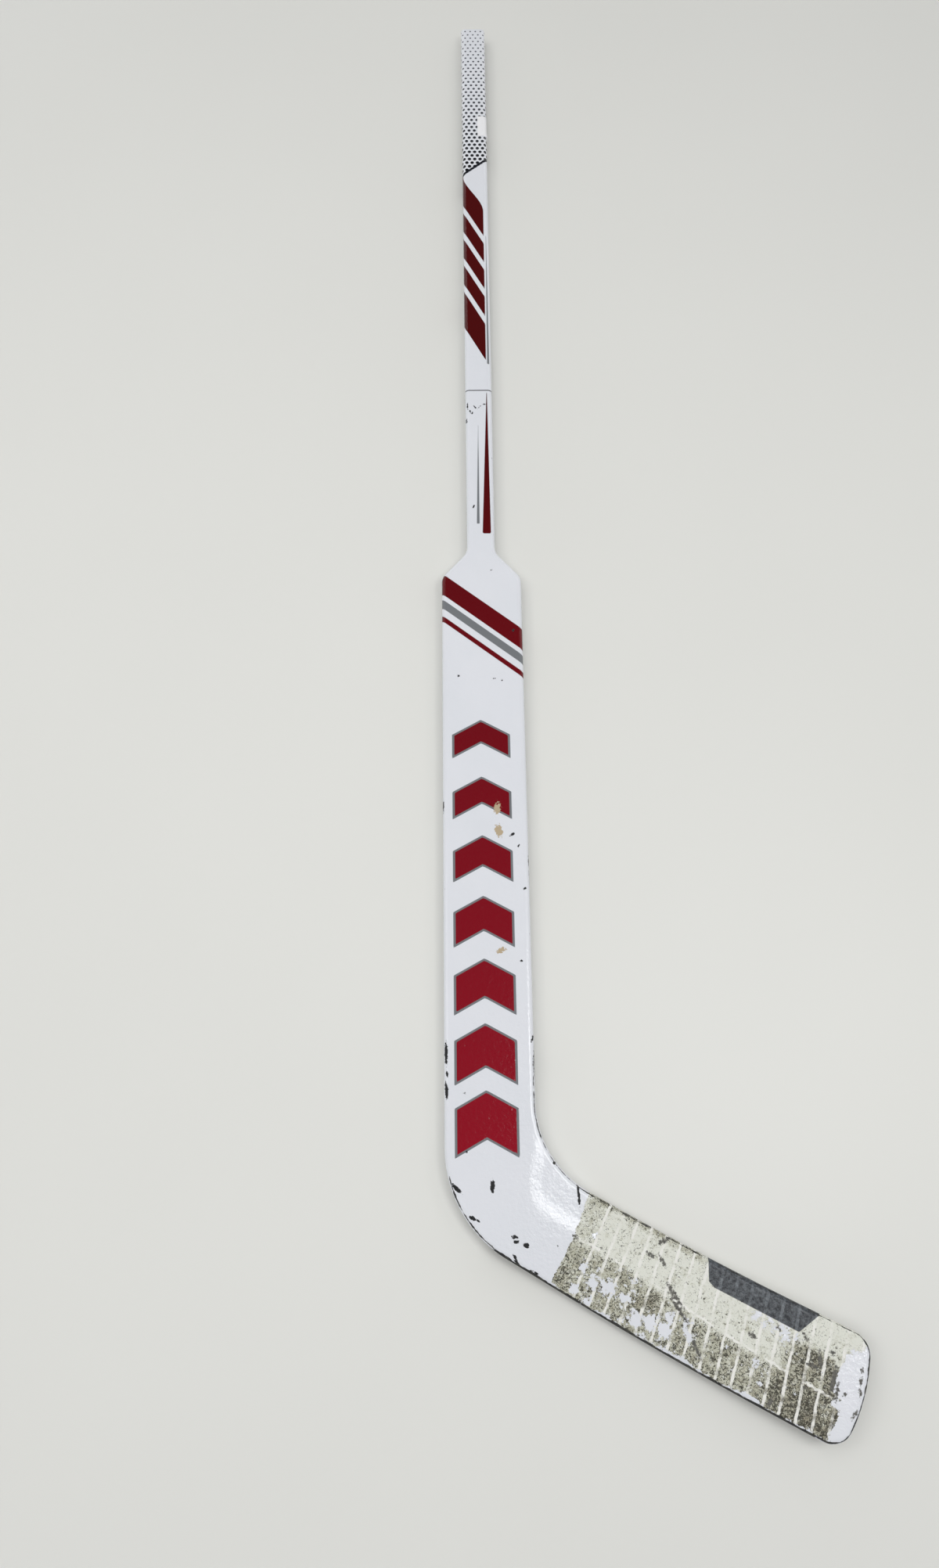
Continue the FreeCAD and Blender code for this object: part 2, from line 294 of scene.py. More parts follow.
wear = {        # old tape glue on the blade, placed along and across it
    "filmStart": 81.5, "filmLean": 0.13,        # the film starts here, and leans back above the crease
    "filmEnd": ((-45, 343), (-17, 339), (4, 331), (34, 329), (50, 340)),       # across, along
    "ragged": 8.0, "raggedSize": 6.0,           # how far its end wanders, and in blotches of what size
    "startSlope": 2.5, "startRagged": 0.2,      # its start is crisp, with this share of that raggedness
    "bottomSlope": 1.5, "bottomRagged": 0.3,    # and its lower side nearly so
    "sliver": 5.0, "sliverLength": 17.0,        # widest clean sliver between film and bottom edge
    "crease": 4.0, "creaseFall": 7.0,           # where the turns overlapped, and its fall to the toe
    "creaseSpan": (110.0, 260.0),
    "hold": 4.2, "holdSpread": 2.8, "holdSize": 10.0,      # how well the film holds, and how unevenly
    "flaking": 0.5, "flakingEdge": (-5.0, 0.0),            # how much worse it holds below the crease
    "flakingSteps": ((94, 104, 1.5), (200, 235, -1.3), (285, 305, -0.7)),      # from, to, change
    "cleaning": 4.4,
    "cleanSpots": (                             # along, across, radius
        (99, -14, 6), (98, 13, 5), (101, -35, 5), (113, -22, 7), (128, -20, 8), (142, -20, 6),
        (116, -37, 5), (160, -30, 7), (172, -27, 7), (186, -25, 7), (184, -15, 5), (208, -20, 6),
        (261, -10, 6), (277, 24, 12), (262, 23, 11), (249, 24, 7), (274, -23, 4), (304, -15, 4),
        (308, -6, 4), (322, -35, 5), (333, -5, 4),
    ),
}

soiling = {     # how dirty the film is, from 0 to 1: the share of each band and where it fades in or out
    "everywhere": 0.1,
    "below": 0.56, "belowEdge": (-7.0, 2.0),               # under the crease
    "heel": 0.2, "heelTo": (98.0, 103.0),                  # the first turn of tape, above the crease
    "top": 0.5, "topAcross": (36.0, 42.0), "topFrom": (80.0, 90.0), "topTo": (185.0, 195.0),
    "toe": 0.74, "toeLess": 0.46,                          # less of it under the crease
    "toeFrom": (272.0, 300.0), "toeAcross": (18.0, 29.0), "toeCorner": (340.0, 350.0),
    "uneven": 0.2, "unevenSize": 11.0,
    "spot": 0.2,
    "spots": (                                             # along, across, radius
        (120, -24, 6), (134, 0, 6), (156, -19, 8), (164, -14, 8), (84, 37, 6), (247, 12, 5),
        (290, 12, 12), (306, 18, 12), (324, 8, 10), (318, -26, 16), (335, -24, 12),
    ),
}

edgeWearAndShade = {    # width of the dark edge line on each stretch of the edge, and where the stretch fades in or out: bare laminate, and partly painted shade of the rounded edge
    "paddle": -0.9,
    # the thin dark line along the top edge is painted shade of the rounding, not wear
    "top": 0.3, "topFrom": (78.0, 92.0),
    "innerHeel": 0.4, "innerHeelSide": 30.0, "innerHeelTop": (90.0, 140.0),    # x and y
    "outerHeel": 0.8, "outerHeelFrom": (-46.0, -34.0),
    "toe": 0.9, "toeFrom": (318.0, 338.0),
    # the dark bottom line is worn laminate and partly a painted contact shadow
    "bottom": 1.5, "bottomFrom": (5.0, 35.0), "bottomTo": (325.0, 340.0),
    "uneven": 26.0, "seed": 5,                  # length of its wide and narrow places
}

marks = {       # on the front: x, y, angle, length and width of each
    "chip": (
        (-31, 3, -43, 12, 3.4), (1, 4, -87, 13, 4.0), (2, 7, -80, 7, 3.0), (-17, -22, -30, 7, 3.4),
        (-12, -24, -40, 4, 1.6), (20, -38, -10, 6, 3.2), (21, -42, -19, 5, 3.0), (30, -45, -35, 6.5, 4.2),
        (20, -55, -62, 8, 2.6), (22, -60, -50, 10, 2.2), (38, -68, -30, 5, 2.2), (34, -66, -30, 3, 2.2),
        (78, -4, -86, 17, 2.4), (57, 24, -10, 3, 2.8), (-22, 34, -14, 3, 2.6), (-23, 85, -90, 3, 2.6),
        (57, -46, 0, 2.6, 2.2), (-39.6, 121, -90, 20, 3.0), (-39, 103, -86, 6, 2.2),
        (-39.4, 88, -88, 15, 3.0), (42, 110, -89, 28, 2.0), (44, 84, -87, 20, 1.8), (26, 330, 30, 5, 2.6),
        (32, 318.6, 60, 3, 1.8), (41.9, 304, 90, 9, 1.8), (42.2, 291.5, 90, 6, 1.6), (37, 276, 45, 4, 2.0),
        (42.6, 264, 80, 6, 2.0), (42.3, 468, 90, 9, 1.4), (-41.2, 359, 90, 11, 1.4), (32, 206, 0, 3, 2.4),
        (40.4, 133.5, 70, 7, 2.0), (32, 550, 70, 4, 2.4), (-25, 499, 0, 3, 2.0), (11, 496, 0, 3, 2.0),
        (19, 494, 20, 3, 2.0), (10.6, 620, 60, 3, 2.2), (-7, 697, 60, 4, 2.4), (-12.5, 825, 90, 9, 1.6),
        (-9.9, 818, 120, 4, 1.8), (-7.2, 815, 60, 4, 1.6), (-4.1, 823, -50, 6, 1.8),
        (0.9, 823.5, 40, 4, 1.6), (6.2, 826.8, 20, 5, 1.6), (-13.6, 806, 90, 5, 1.6),
    ),
    "filler": ((12, 357, 75, 12, 6.5), (13, 334, 100, 13, 7.0), (13, 216, 20, 9, 5.0)),
    "scratch": (
        (158, -86, -58, 23, 3.6), (161, -98, -57, 25, 3.4), (174, -129, -72, 17, 2.8),
        (287, -154, -110, 22, 4.0), (289, -163, -105, 14, 3.0), (278, -138, -91, 14, 3.0),
        (140, -54, -33, 9, 3.4), (152, -43, 27, 11, 3.6), (150, -60, -61, 10, 3.2),
        (223, -119.5, -37, 8, 3.6), (232.6, -171, 57, 8, 3.0), (272, -143, -23, 14, 2.8),
        (268, -121, -53, 8, 3.2), (74, -38, -26, 6, 2.6), (121, -21, -17, 7, 3.0), (139, -30, -18, 7, 3.0),
        (309.5, -155, 70, 6, 3.4), (308, -164, 80, 7, 2.8), (302, -179, 50, 6, 3.0),
        (299.5, -183, 40, 4, 2.6), (295, -165, 20, 4, 3.0), (312, -147, 70, 4, 2.4),
        (288.6, -133, -30, 5, 3.0), (263, -160, -20, 5, 3.0), (245, -113, -60, 6, 2.8),
    ),
}


def lenses(x, y, places):  # about the distance inside the nearest of some lens-shaped marks
    field = np.full_like(x, -farAway)
    for middleX, middleY, angle, length, width in places:
        ahead = heading(angle)
        along = (x - middleX) * ahead[0] + (y - middleY) * ahead[1]
        aside = (y - middleY) * ahead[0] - (x - middleX) * ahead[1]
        field = np.maximum(field, width / 2 * (1 - np.hypot(along / length, aside / width) * 2))
    return field


def spots(along, across, places, fade=1.5):  # 1 in the middle of round places, 0 at fade times the radius
    field = np.zeros_like(along)
    for centreAlong, centreAcross, radius in places:
        away = np.hypot(along - centreAlong, across - centreAcross) / radius
        field = np.maximum(field, 1 - ease(away, 0, fade))
    return field


def leftOf(along, across, start, end):  # distance to the left of a line
    ahead = np.subtract(end, start) / math.dist(start, end)
    return (across - start[1]) * ahead[0] - (along - start[0]) * ahead[1]


def creaseHeight(along):  # where the tape's turns overlapped, across the blade
    return wear["crease"] - wear["creaseFall"] * ease(along, *wear["creaseSpan"])


def filmField(along, across, inset, seed):  # distance inside the film, less where it has flaked off
    start = wear["filmStart"] - wear["filmLean"] * np.maximum(across - wear["crease"], 0)
    end = np.interp(across, *zip(*wear["filmEnd"]))
    ragged = (mottle(along, across, wear["raggedSize"], seed) - 0.5) * wear["ragged"]
    pastStart = (along - start) * wear["startSlope"] + ragged * wear["startRagged"]
    inside = np.minimum(pastStart, end - along + ragged)
    sliver = wear["sliver"] * mottle(along, 0 * across, wear["sliverLength"], seed + 3)
    aboveBottom = (inset - sliver) * wear["bottomSlope"] + ragged * wear["bottomRagged"]
    inside = np.where(across < 0, np.minimum(inside, aboveBottom), inside)
    below = 1 - ease(across - creaseHeight(along), *wear["flakingEdge"])
    steps = (change * ease(along, first, last) for first, last, change in wear["flakingSteps"])
    uneven = mottle(along, across, wear["holdSize"], seed + 1) - 0.5
    hold = wear["hold"] - below * sum(steps, wear["flaking"]) + wear["holdSpread"] * uneven
    return np.minimum(inside, hold) - wear["cleaning"] * spots(along, across, wear["cleanSpots"])


def soilField(along, across, seed):  # from 0, pale, to 1, brown: more below the crease and near the toe
    below = 1 - ease(across - creaseHeight(along), *soiling["belowEdge"])
    heelBand = 1 - ease(along, *soiling["heelTo"])
    toeBand = ease(along, *soiling["toeFrom"]) * (1 - ease(across, *soiling["toeAcross"]))
    toeBand *= 1 - ease(along + across, *soiling["toeCorner"])
    topBand = ease(across, *soiling["topAcross"]) * ease(along, *soiling["topFrom"])
    topBand *= 1 - ease(along, *soiling["topTo"])
    soil = soiling["everywhere"] + soiling["below"] * below + soiling["heel"] * heelBand * (1 - below)
    soil += soiling["top"] * topBand
    soil += (soiling["toe"] - soiling["toeLess"] * below) * toeBand
    soil += soiling["spot"] * spots(along, across, soiling["spots"])
    return soil + soiling["uneven"] * (mottle(along, across, soiling["unevenSize"], seed) - 0.5)


def rimWearAndShadeField(x, y, inset, arris):  # dark edge line, worn to a depth along the bottom, elsewhere along the rounding's middle, where it is partly painted shade
    along, across = alongBlade(x, y)
    onBlade = ease(along, *edgeWearAndShade["topFrom"])
    beside = (x > edgeWearAndShade["innerHeelSide"]) * (1 - ease(y, *edgeWearAndShade["innerHeelTop"]))
    shares = {      # how much each stretch of the edge counts
        "top": onBlade * (across > 0),
        "innerHeel": beside * (across > 0) * (1 - onBlade),
        "outerHeel": ease(along, *edgeWearAndShade["outerHeelFrom"]) * (across < 0),
        "toe": ease(along, *edgeWearAndShade["toeFrom"]),
    }
    rimWearAndShade = np.full_like(x, edgeWearAndShade["paddle"])
    for place, share in shares.items():
        rimWearAndShade += (edgeWearAndShade[place] - rimWearAndShade) * share
    bottom = ease(along, *edgeWearAndShade["bottomFrom"]) * (1 - ease(along, *edgeWearAndShade["bottomTo"])) * (across < 0)
    width = edgeWearAndShade["bottom"] * (0.5 + mottle(along, across, edgeWearAndShade["uneven"], edgeWearAndShade["seed"]))
    return np.maximum(rimWearAndShade - arris, width * (2 * bottom - 1) - inset)


paint = {
    "columnMiddle": -3.0, "columnHalf": 27.0,     # the paddle carries a column of chevrons
    "chevronStart": 66.0, "chevronPitch": 62.0, "chevronCount": 7,
    "chevronBars": (19.5, 10.5),                  # half the height of the first bar and of the last
    "chevronSlope": 0.55,
    "keyline": 2.2,
    "shoulderAngle": -38.0,                       # parallel bands across the shoulder
    "shoulderRed": ((572.0, 19.0), (532.0, 5.0)),     # height at the middle, width
    "shoulderGrey": ((549.0, 8.0),),
    "neckRed": ((9.0, 842.0), (6.5, 664.0), 0.6, 9.0),    # a tapered stripe: start, end and both widths
    "neckGrey": ((-1.0, 800.0), (-2.5, 676.0), 0.3, 3.0),
    "patch": ((193.4, 45.3), (202.0, 28.6), (208.0, 26.3), (286.0, 30.0), (296.1, 51.9)),   # along, across
}


def chevrons(x, y):  # distance inside the nearest of bars that rise to the middle, thinner up the paddle
    aside = np.abs(x - paint["columnMiddle"])
    climb = (y + paint["chevronSlope"] * aside - paint["chevronStart"]) / paint["chevronPitch"]
    nearest = np.clip(np.round(climb), 0, paint["chevronCount"] - 1)
    first, last = paint["chevronBars"]
    half = first + (last - first) * nearest / (paint["chevronCount"] - 1)
    return np.minimum(half - np.abs(climb - nearest) * paint["chevronPitch"], paint["columnHalf"] - aside)


def bands(x, y, rows):  # distance inside the nearest of some parallel slanted bands
    ahead = heading(paint["shoulderAngle"])
    field = np.full_like(x, -farAway)
    for height, width in rows:
        field = np.maximum(field, width / 2 - np.abs((y - height) * ahead[0] - x * ahead[1]))
    return field


def tapered(x, y, start, end, startWidth, endWidth):  # distance inside a bar that widens from start to end
    length = math.dist(start, end)
    ahead = np.subtract(end, start) / length
    along = (x - start[0]) * ahead[0] + (y - start[1]) * ahead[1]
    aside = np.abs((x - start[0]) * ahead[1] - (y - start[1]) * ahead[0])
    width = startWidth + (endWidth - startWidth) * along / length
    return np.minimum(width / 2 - aside, np.minimum(along, length - along))


def skinFields(x, y, inset, arris, seed):  # distances inside each printed or worn shape
    along, across = alongBlade(x, y)
    patch = np.full_like(x, farAway)
    for start, end in zip(paint["patch"][:-1], paint["patch"][1:]):
        patch = np.minimum(patch, leftOf(along, across, start, end))
    column = chevrons(x, y)
    red = np.maximum(column, bands(x, y, paint["shoulderRed"]))
    grey = np.maximum(column + paint["keyline"], bands(x, y, paint["shoulderGrey"]))
    fields = {
        "red": np.maximum(red, tapered(x, y, *paint["neckRed"])),
        "grey": np.maximum(grey, tapered(x, y, *paint["neckGrey"])),
        "patch": patch,
        "rimWearAndShade": rimWearAndShadeField(x, y, inset, arris),
        "film": filmField(along, across, inset, seed),
        "soil": soilField(along, across, seed + 2),
        "crease": across - creaseHeight(along),
    }
    fields.update((kind, lenses(x, y, places)) for kind, places in marks.items())
    return fields


def shellSide(step, wall, rounding):  # a face straight across from rail to rail, then rows round its edge
    line, away, radius = outline[::step], outward[::step], stick["edgeRadius"] - wall
    rail = line - stick["edgeRadius"] * away
    first, last = toeStart // step, toeEnd // step
    left, toe, right = rail[:first + 1], rail[first:last + 1], rail[last:][::-1]
    pace = np.hypot(*np.diff(toe, axis=0).T)
    share = np.concatenate(([0], np.cumsum(pace))) / pace.sum()
    flat = left[:, None] + (right - left)[:, None] * share[None, :, None]
    bend = ease(np.arange(first + 1), first - skinGrain["toeRows"] // step, first)[:, None, None]
    flat = flat + bend * (toe[None] - flat[-1:])      # the last rows turn into the toe's curve
    turn = np.linspace(0, math.pi / 2, rounding, endpoint=False)
    insets = wall + np.concatenate(([0], radius * (1 - np.cos(turn))))
    drops = wall + np.concatenate(([0], radius * (1 - np.sin(turn))))
    onEdge = np.concatenate(([radius], radius * np.abs(turn - math.pi / 4)))
    inward = np.tile(skinGrain["halfFace"] * (1 - np.abs(2 * share - 1)), first + 1)
    rings = line[None] - insets[:, None, None] * away[None]
    face = np.arange(flat.shape[0] * flat.shape[1]).reshape(flat.shape[:2])
    loop = np.concatenate((face[:-1, 0], face[-1], face[-2::-1, -1]))
    count = len(line)
    rows = np.vstack((face.size + np.arange(rings.shape[0] * count).reshape(-1, count), loop))
    return {    # drop is below the face, inset is from the outline and arris from the rounding's middle
        "plan": np.vstack((flat.reshape(-1, 2), rings.reshape(-1, 2))),
        "drop": np.concatenate((np.full(face.size, wall), np.repeat(drops, count))),
        "inset": np.concatenate((stick["edgeRadius"] + inward, np.repeat(insets, count))),
        "arris": np.concatenate((radius * math.pi / 4 + inward, np.repeat(onEdge, count))),
        "face": face,
        "rows": rows,
    }


def skinHalf(name, node, side, seed):  # a thin shell, with side 1 in front and -1 at the back
    outer = shellSide(1, 0.0, skinGrain["rounding"])
    inner = shellSide(skinGrain["innerStep"], stick["skinWall"], skinGrain["innerRounding"])
    both = {key: np.concatenate((outer[key], inner[key])) for key in ("plan", "drop", "inset", "arris")}
    start = len(outer["plan"])
    innerFace, innerRows = inner["face"] + start, inner["rows"] + start
    x, y = both["plan"].T
    along = alongBlade(x, y)[0]
    back, deep = backHeight(along), thickness(along)
    z = back + deep - both["drop"] if side > 0 else back + both["drop"]
    if side > 0:
        z[:start] -= scoopDepth(x, y)[:start]
    bond = np.concatenate((outer["rows"][0], innerRows[0]))
    z[bond] = (back + deep / 2)[bond] + side * stick["bondLine"] / 2
    step, edges = skinGrain["innerStep"], np.arange(len(innerRows[0]) - 1)
    seam = outer["rows"][0][edges[:, None] * step + np.arange(step + 1)]    # outer edges for each inner one
    seam = np.column_stack((seam, innerRows[0, 1:], innerRows[0, :-1]))
    ends = [np.concatenate((rows[:-1, 0], face[0], rows[-2::-1, -1]))     # profiles of the neck's open end
            for rows, face in ((outer["rows"], outer["face"]), (innerRows, innerFace))]
    end = np.concatenate((ends[0], ends[1][::-1]))[None]
    faces = [quads(outer["face"], side < 0), quads(outer["rows"], side > 0),
             quads(innerFace, side > 0), quads(innerRows, side < 0),
             seam[:, ::-side], end[:, ::side]]
    fields = skinFields(x, y, both["inset"], both["arris"], seed)
    return makePiece(name, np.stack((x, y, z), -1), faces, fields, "white_lacquer", node)


frontSkin = skinHalf("frontSkin", "front_skin", side=1, seed=11)
backSkin = skinHalf("backSkin", "back_skin", side=-1, seed=41)


# Shaft tube, its end plug, the glue line at the splice and the sticker

shaft = {
    "wall": 1.8,
    "rowStep": 2.7,
    "cornerSteps": 10, "acrossSteps": 14, "sideSteps": 6,    # samples round the section
    "leastRadius": 0.3,          # of the corners far inside
    "dotFoot": 1163.0,           # dots reach down to here on the front, with a slanted dark line below them
    "footSlope": 0.8,
    "line": 3.4,
    "redTop": 1150.0, "redFull": 1096.0, "redFoot": 902.0,   # a red field that grows, then ends in a slant
    "redReach": 9.0, "redWrap": 24.0,             # how far it goes both ways from the front's middle
    "redSlant": 1.9,
    "cuts": (1071.0, 1033.0, 995.0, 957.0), "cutWidth": 5.0,     # white slanted cuts in the red field
    "pin": ((11.5, 1060.0), (11.5, 880.0), 0.6, 2.6),        # a tapered stripe, like those on the neck
}


def ringSection(inset):  # a rounded rectangle, and distances round it from the front's middle
    radius = max(stick["edgeRadius"] - inset, shaft["leastRadius"])
    half = np.array((stick["shaftWidth"], stick["shaftThickness"])) / 2 - inset - radius
    corners = half * np.array(((1, 1), (-1, 1), (-1, -1), (1, -1)))
    turn = np.linspace(0, math.pi / 2, shaft["cornerSteps"], endpoint=False)
    points = []
    for quarter, (corner, following) in enumerate(zip(corners, np.roll(corners, -1, axis=0))):
        angle = turn + quarter * math.pi / 2
        points.append(corner + radius * np.stack((np.cos(angle), np.sin(angle)), -1))
        steps = shaft["sideSteps"] if quarter % 2 else shaft["acrossSteps"]
        share = np.linspace(0, 1, steps, endpoint=False)[:, None]
        points.append(corner + (following - corner) * share + radius * heading(90 * (quarter + 1)))
    ring = np.vstack(points)
    step = np.hypot(*(np.roll(ring, -1, axis=0) - ring).T)
    gone = np.concatenate(([0], np.cumsum(step)[:-1]))
    girth, whole = gone[shaft["cornerSteps"] + shaft["acrossSteps"] // 2] - gone, step.sum()
    seam = (step[0] - whole) / 2                      # just before the back's middle
    return ring, np.where(girth > seam, girth, girth + whole)


def carried(rows):  # a section carried along the shaft: each row is an inset and a height up the shaft
    rings = np.stack([ringSection(inset)[0] for inset, height in rows])
    points = np.zeros((*rings.shape[:2], 3))
    points[:, :, 0] = rings[:, :, 0]
    points[:, :, 1] = np.array([height for inset, height in rows])[:, None]
    points[:, :, 2] = rings[:, :, 1] + stick["shaftThickness"] / 2
    return points


def closedRound(count, columns):  # vertex numbers of rings, with the first column again at the end
    ids = np.arange(count * columns).reshape(count, columns)
    return np.hstack((ids, ids[:, :1]))


def shaftFields(girth, y):  # distances inside the printed shapes, in the shaft's unrolled surface
    slanted = y + shaft["redSlant"] * girth
    grow = ease(-y, -shaft["redTop"], -shaft["redFull"])
    edge = -stick["shaftWidth"] / 2 + (shaft["redReach"] + stick["shaftWidth"] / 2) * grow
    red = np.minimum(edge - girth, girth + shaft["redWrap"])
    red = np.minimum(red, np.minimum(slanted - shaft["redFoot"], shaft["redTop"] - y))
    for cut in shaft["cuts"]:
        away = np.abs(slanted - cut) / math.hypot(1, shaft["redSlant"])
        red = np.minimum(red, away - shaft["cutWidth"] / 2)
    foot = y - shaft["footSlope"] * girth - shaft["dotFoot"]
    line = shaft["line"] / 2 - np.abs(foot) / math.hypot(1, shaft["footSlope"])
    pin = tapered(girth, y, *shaft["pin"])
    return {"red": red, "grey": pin, "line": line, "dots": foot, "girth": girth}


def shaftTube():  # rows up the outside, then down the inside and back to the first row
    low, high = shaftLow[1], shaftHigh[1]
    steps = int((high - low) / shaft["rowStep"])
    rows = [(0, height) for height in np.linspace(low, high, steps)]
    rows += [(shaft["wall"], high), (shaft["wall"], low), (0, low)]
    points = carried(rows)
    ids = closedRound(len(rows), points.shape[1])
    ids[-1] = ids[0]                                  # the last row is the first one again
    points = points[:-1].reshape(-1, 3)
    girth = np.tile(ringSection(0)[1], len(rows) - 1)
    fields = shaftFields(girth, points[:, 1])
    return makePiece("shaftTube", points, [quads(ids)], fields, "white_lacquer", "shaft_tube")


plug = {
    "top": solidBox("butt_plug")[1, 1],
    "fit": 1.9, "wall": 2.4, "depth": 30.0, "lip": 2.0,
    "boreEnd": 5.0,                                   # the bore's end has a ring of faces this wide
    "round": 1.2, "roundSteps": 6, "crown": 0.25,
    "cap": ((3.0, 0.1), (6.0, 0.0), (9.0, 0.0)),      # inset and drop of the rings on the crowned end
}


def buttPlug():  # from the bore's end round the shank and lip to the crowned end face
    seat, foot = plug["top"] - plug["lip"], plug["top"] - plug["lip"] - plug["depth"]
    bore = plug["fit"] + plug["wall"]
    rows = [(bore + plug["boreEnd"], seat), (bore, seat), (bore, foot), (plug["fit"], foot)]
    rows += [(plug["fit"], seat), (0, seat)]
    for turn in np.linspace(0, math.pi / 2, plug["roundSteps"]):
        drop = plug["crown"] + plug["round"] * (1 - math.sin(turn))
        rows.append((plug["round"] * (1 - math.cos(turn)), plug["top"] - drop))
    rows += [(inset, plug["top"] - drop) for inset, drop in plug["cap"]]
    points = carried(rows)
    ids = closedRound(len(rows), points.shape[1])
    faces = [quads(ids), ids[:1, :-1], ids[-1:, :-1][:, ::-1]]    # with flat faces at both ends
    return makePiece("buttPlug", points.reshape(-1, 3), faces, {}, "white_plastic", "butt_plug")


bead = {"sink": 0.12, "middleSink": 0.048, "wall": 1.8}


def spliceBead():  # a thin ring of glue, sunk a little between tube and neck
    low, high, sink = beadLow[1], beadHigh[1], bead["sink"]
    rows = [(sink, low), (bead["middleSink"], (low + high) / 2), (sink, high)]
    rows += [(bead["wall"], high), (bead["wall"], low), (sink, low)]
    points = carried(rows)
    ids = closedRound(len(rows), points.shape[1])
    ids[-1] = ids[0]
    points = points[:-1].reshape(-1, 3)
    return makePiece("spliceBead", points, [quads(ids)], {}, "black_glue", "splice_bead")


sticker = {
    "film": 0.2, "lift": 0.3, "rows": 40, "run": 12, "corner": 16,
    "curl": 1.6, "looseDown": 0.62, "looseAcross": 0.45,    # a corner is loose past these shares of it
}


def shaftSticker():  # a film over the front, round the edge and down the side, with one loose corner
    radius, half = stick["edgeRadius"] + sticker["lift"], stick["shaftWidth"] / 2 - stick["edgeRadius"]
    middle = stick["shaftThickness"] - stick["edgeRadius"]
    turn = np.linspace(0, math.pi / 2, sticker["corner"])
    acrossX = np.linspace(stickerLow[0], half, sticker["run"], endpoint=False)
    downZ = np.linspace(middle, stickerLow[2], sticker["run"])[1:]
    x = np.concatenate((acrossX, half + radius * np.sin(turn), np.full_like(downZ, half + radius)))
    z = np.concatenate((np.full_like(acrossX, middle + radius), middle + radius * np.cos(turn), downZ))
    normalX = np.concatenate((0 * acrossX, np.sin(turn), 0 * downZ + 1))
    normalZ = np.concatenate((0 * acrossX + 1, np.cos(turn), 0 * downZ))
    y = np.linspace(stickerHigh[1], stickerLow[1], sticker["rows"])
    down = ease(np.linspace(0, 1, len(y)), sticker["looseDown"], 1)[:, None]
    aside = ease(np.linspace(0, 1, len(x)), sticker["looseAcross"], 1)[None]
    points = np.zeros((len(y), len(x), 3))
    points[:, :, 0] = x + sticker["curl"] * down * aside * normalX
    points[:, :, 1] = y[:, None]
    points[:, :, 2] = z + sticker["curl"] * down * aside * normalZ
    faces = [quads(np.arange(points.shape[0] * points.shape[1]).reshape(points.shape[:2]))]
    points, wall = points.reshape(-1, 3), sticker["film"]
    return makePiece("shaftSticker", points, faces, {}, "sticker_paper", "shaft_sticker", wall=wall)


tube, endPlug, glueLine, paper = shaftTube(), buttPlug(), spliceBead(), shaftSticker()


# Materials

colourMix = {"out": 2, "data_type": "RGBA"}    # the two colours of such a Mix node are its inputs 6 and 7


def newMaterial(name):  # an empty material, what adds nodes to it, and places in millimetres
    material = bpy.data.materials.new(name)
    material.use_nodes = True
    material.node_tree.nodes.clear()
    add = partial(addNode, material.node_tree)
    whole = add("TexCoord", out="Object")
    return material, add, add("Mapping", {"Vector": whole, "Scale": (1 / mm,) * 3})


def blotches(size, detail=3.0, rough=0.6, swirl=0.0):  # settings of noise, from the size of its blotches
    return {"Scale": 1 / size, "Detail": detail, "Roughness": rough, "Distortion": swirl}


def within(add, name, blur=0.3, ragged=0.0, noise=0.5):  # 1 inside a shape, made ragged by noise
    distance = add("Attribute", out="Fac", attribute_name=name)
    distance = add("Math", noise, ragged, distance, operation="MULTIPLY_ADD")
    return add("MapRange", distance, ragged / 2 - blur, ragged / 2 + blur)


def layOver(add, look, mask, colour, rough, lift=0.0):  # one finish over those below it, where mask is 1
    look["colour"] = add("Mix", {0: mask, 6: look["colour"], 7: colour}, **colourMix)
    look["rough"] = add("Mix", {0: mask, 2: look["rough"], 3: rough})
    look["height"] = add("Math", mask, lift, look["height"], operation="MULTIPLY_ADD")


def closeLook(add, look):  # the shader itself, with heights in millimetres as bump
    bump = add("Bump", {"Height": look["height"], "Distance": mm})
    sockets = {"Base Color": look["colour"], "Roughness": look["rough"], "Normal": bump}
    add("OutputMaterial", {"Surface": add("BsdfPrincipled", sockets)})


lacquer = {
    "white": "#e2e3e8", "shade": "#d9dce1", "cloud": blotches(70),
    "peel": blotches(4.2), "peelHeight": 0.3,     # orange peel, coarser than real so that it shows
    "gloss": blotches(25, 5), "glossSpan": (0.3, 0.7), "rough": (0.06, 0.15),
    "redHeel": "#8c001a", "redButt": "#4a0001", "redSpan": (40.0, 760.0),
    "grey": "#74777a",
    "printRough": 0.14, "printLift": 0.01,
}


def lacquerGround(add, place):  # sprayed white lacquer: cool, even, mirrors lamps, faint orange peel
    cloud, gloss, peel = (add("TexNoise", {"Vector": place, **lacquer[key]})
                          for key in ("cloud", "gloss", "peel"))
    return {
        "colour": add("Mix", {0: cloud, 6: lacquer["white"], 7: lacquer["shade"]}, **colourMix),
        "rough": add("MapRange", gloss, *lacquer["glossSpan"], *lacquer["rough"]),
        "height": add("Math", peel, lacquer["peelHeight"], operation="MULTIPLY"),
    }


def printed(add, place, look):  # screen print under the clear coat: solid red and grey with crisp edges
    up = add("SeparateXYZ", place, out="Y")
    share = add("MapRange", up, *lacquer["redSpan"])
    red = add("Mix", {0: share, 6: lacquer["redHeel"], 7: lacquer["redButt"]}, **colourMix)
    for shape, colour in (("grey", lacquer["grey"]), ("red", red)):
        layOver(add, look, within(add, shape), colour, lacquer["printRough"], lacquer["printLift"])


